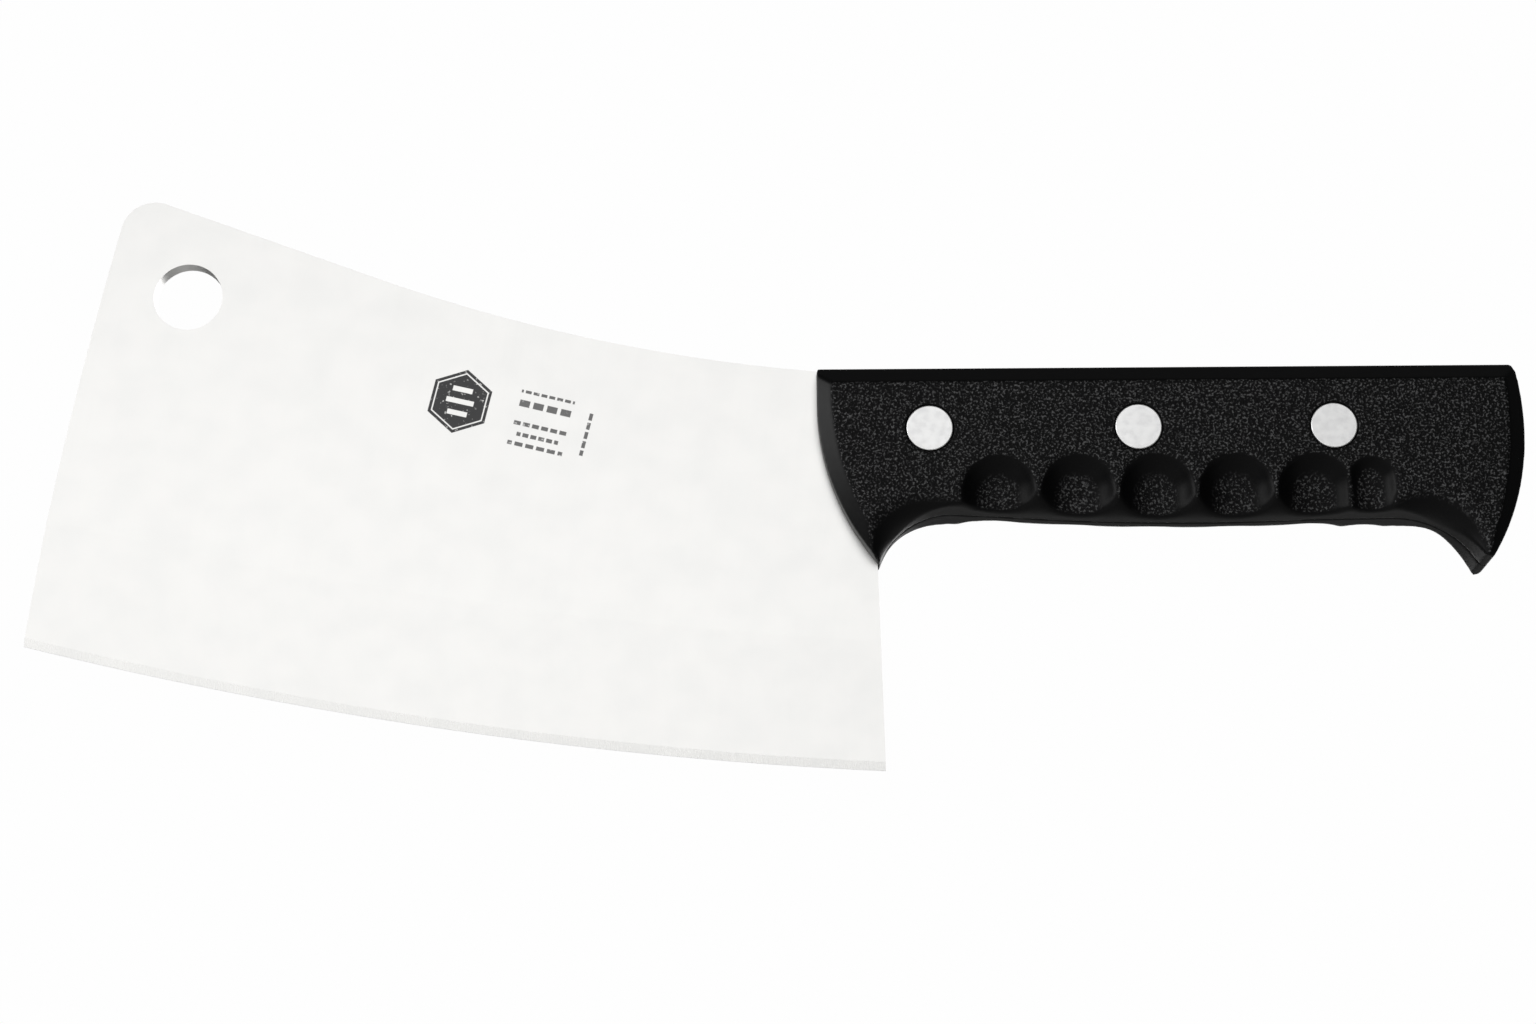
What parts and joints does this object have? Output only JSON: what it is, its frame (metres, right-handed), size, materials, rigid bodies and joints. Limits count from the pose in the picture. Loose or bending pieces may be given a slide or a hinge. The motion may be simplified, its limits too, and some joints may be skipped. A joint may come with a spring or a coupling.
{
  "type": "meat cleaver",
  "caption": "Heavy butcher's cleaver: deep steel blade with a hang hole and full tang between two black moulded scales with finger dimples, riveted through.",
  "frame": {"origin": "centre of the hang hole near the toe of the blade, on the blade's middle plane", "axes": "+X along the handle's top edge from the blade towards the butt; +Y across the thickness, along the hang hole; +Z from the cutting edge up to the spine. The left side, seen first, is -Y"},
  "size_m": [0.3482, 0.02, 0.1381],
  "materials": {
    "blade_steel": "fine satin, ground and polished",
    "black_plastic": "fine moulded grain on the sides, smooth underside and bevels",
    "rivet_steel": "ground flush, fine satin"
  },
  "bodies": {
    "root": {"blade": "blade_steel", "left_scale": "black_plastic", "right_scale": "black_plastic", "front_rivet_stud": "rivet_steel", "middle_rivet_stud": "rivet_steel", "rear_rivet_stud": "rivet_steel", "front_rivet_sleeve": "rivet_steel", "middle_rivet_sleeve": "rivet_steel", "rear_rivet_sleeve": "rivet_steel"}
  },
  "joints": []
}
